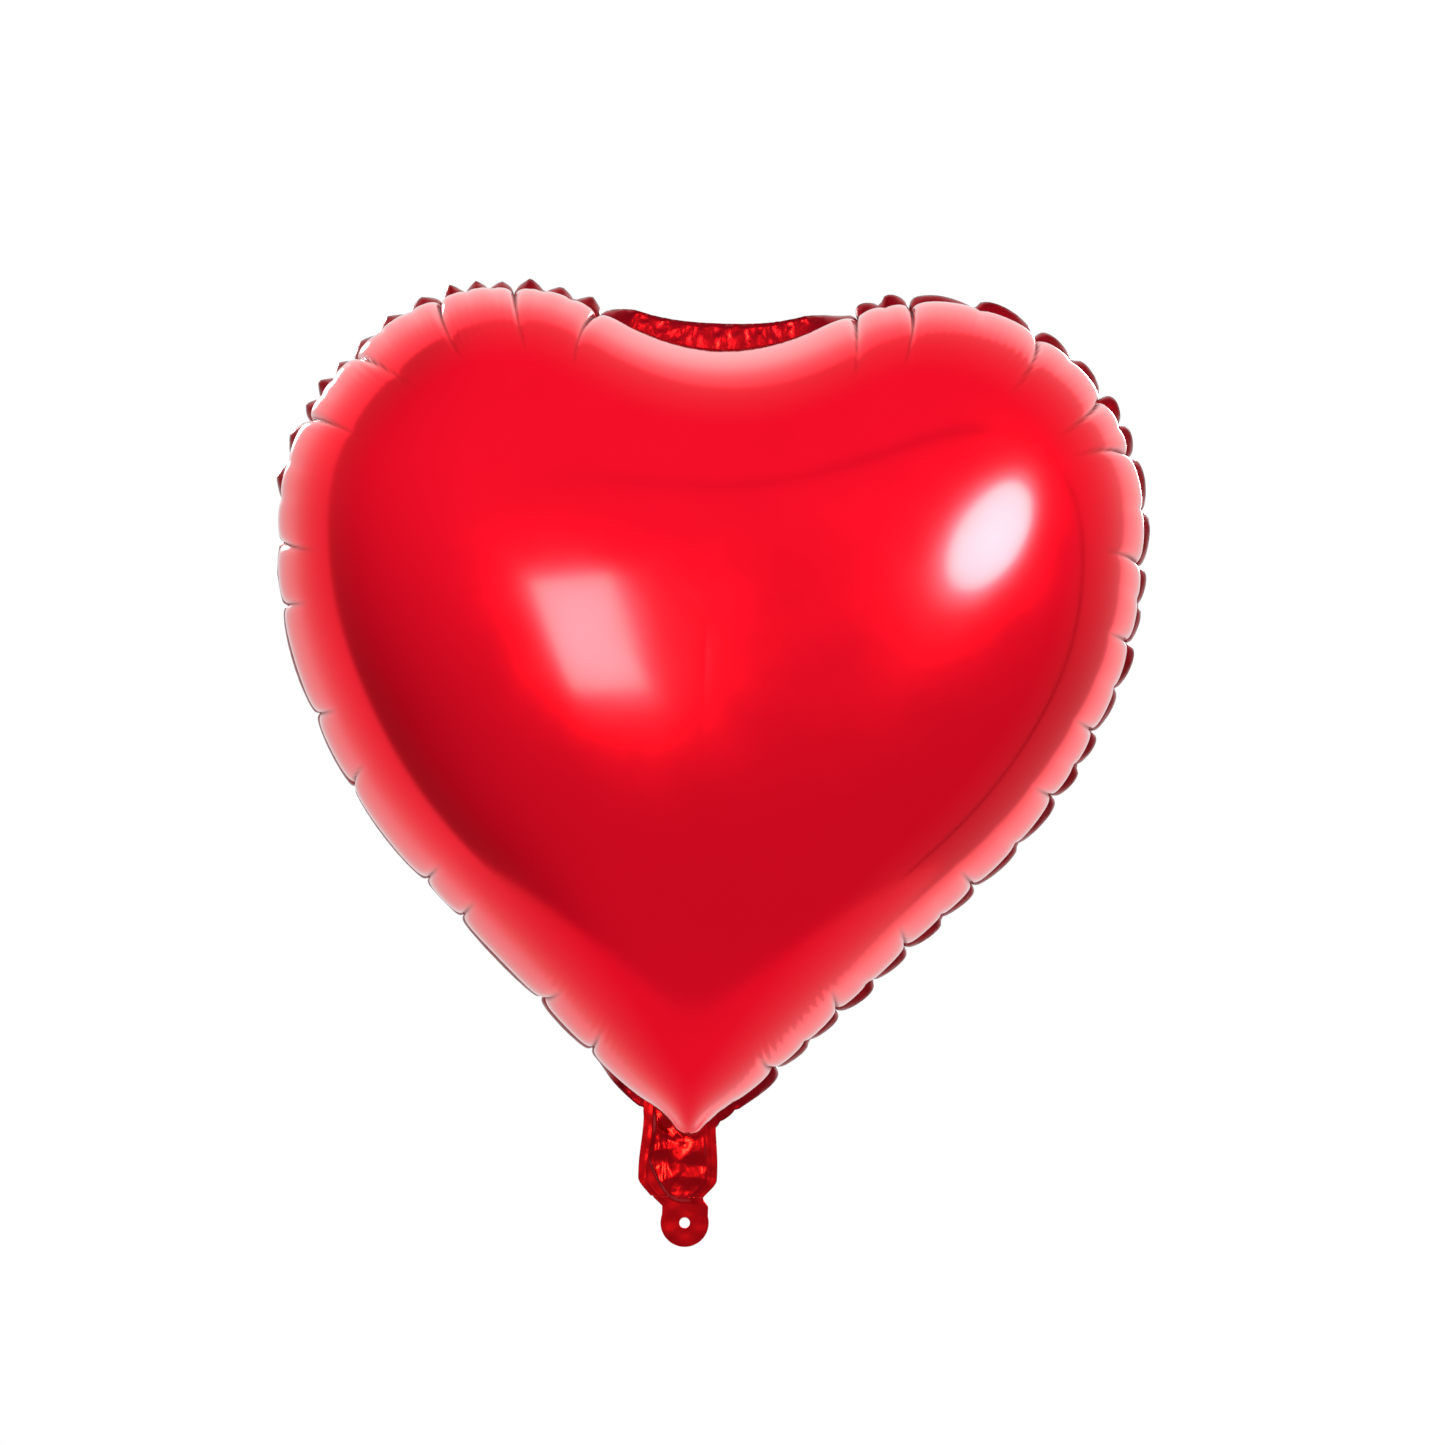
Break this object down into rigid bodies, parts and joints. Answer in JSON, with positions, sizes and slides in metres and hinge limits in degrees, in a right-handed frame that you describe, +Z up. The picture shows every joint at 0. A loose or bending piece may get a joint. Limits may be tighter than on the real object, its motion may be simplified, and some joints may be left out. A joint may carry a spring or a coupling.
{
  "type": "foil balloon",
  "caption": "Heart-shaped metallised film balloon, inflated, with a heat-sealed rim, a self-closing film valve in the tail and a tab with a hole for the ribbon.",
  "frame": {"origin": "centre of the ribbon hole in the tab at the end of the tail, in the plane of the rim", "axes": "+Z up from the tail through the notch of the heart, -Y the front panel, +X the right as seen from the front"},
  "size_m": [0.398, 0.17, 0.4373],
  "materials": {
    "foil": "red metallised film, mirror bright",
    "seal": "red metallised film, fused and fine-wrinkled",
    "valve": "clear polyethylene film"
  },
  "bodies": {
    "balloon": {"front_panel": "foil", "rear_panel": "foil", "edge_seal": "seal", "valve_front_film": "valve", "valve_rear_film": "valve", "valve_left_seal": "valve", "valve_right_seal": "valve"},
    "tail": {"tail_front_film": "foil", "tail_rear_film": "foil", "tail_left_seal": "seal", "tail_right_seal": "seal", "inlet_front_film": "valve", "inlet_rear_film": "valve"},
    "tab": {"ribbon_tab": "seal"}
  },
  "joints": [
    {"name": "tail_fold", "type": "hinge", "parent": "balloon", "child": "tail", "pos_m": [0, 0, 0.0392], "axis": [1, 0, 0], "range_deg": [-80, 80]},
    {"name": "tab_fold", "type": "hinge", "parent": "tail", "child": "tab", "pos_m": [0, 0, 0.0086], "axis": [1, 0, 0], "range_deg": [-80, 80]}
  ]
}
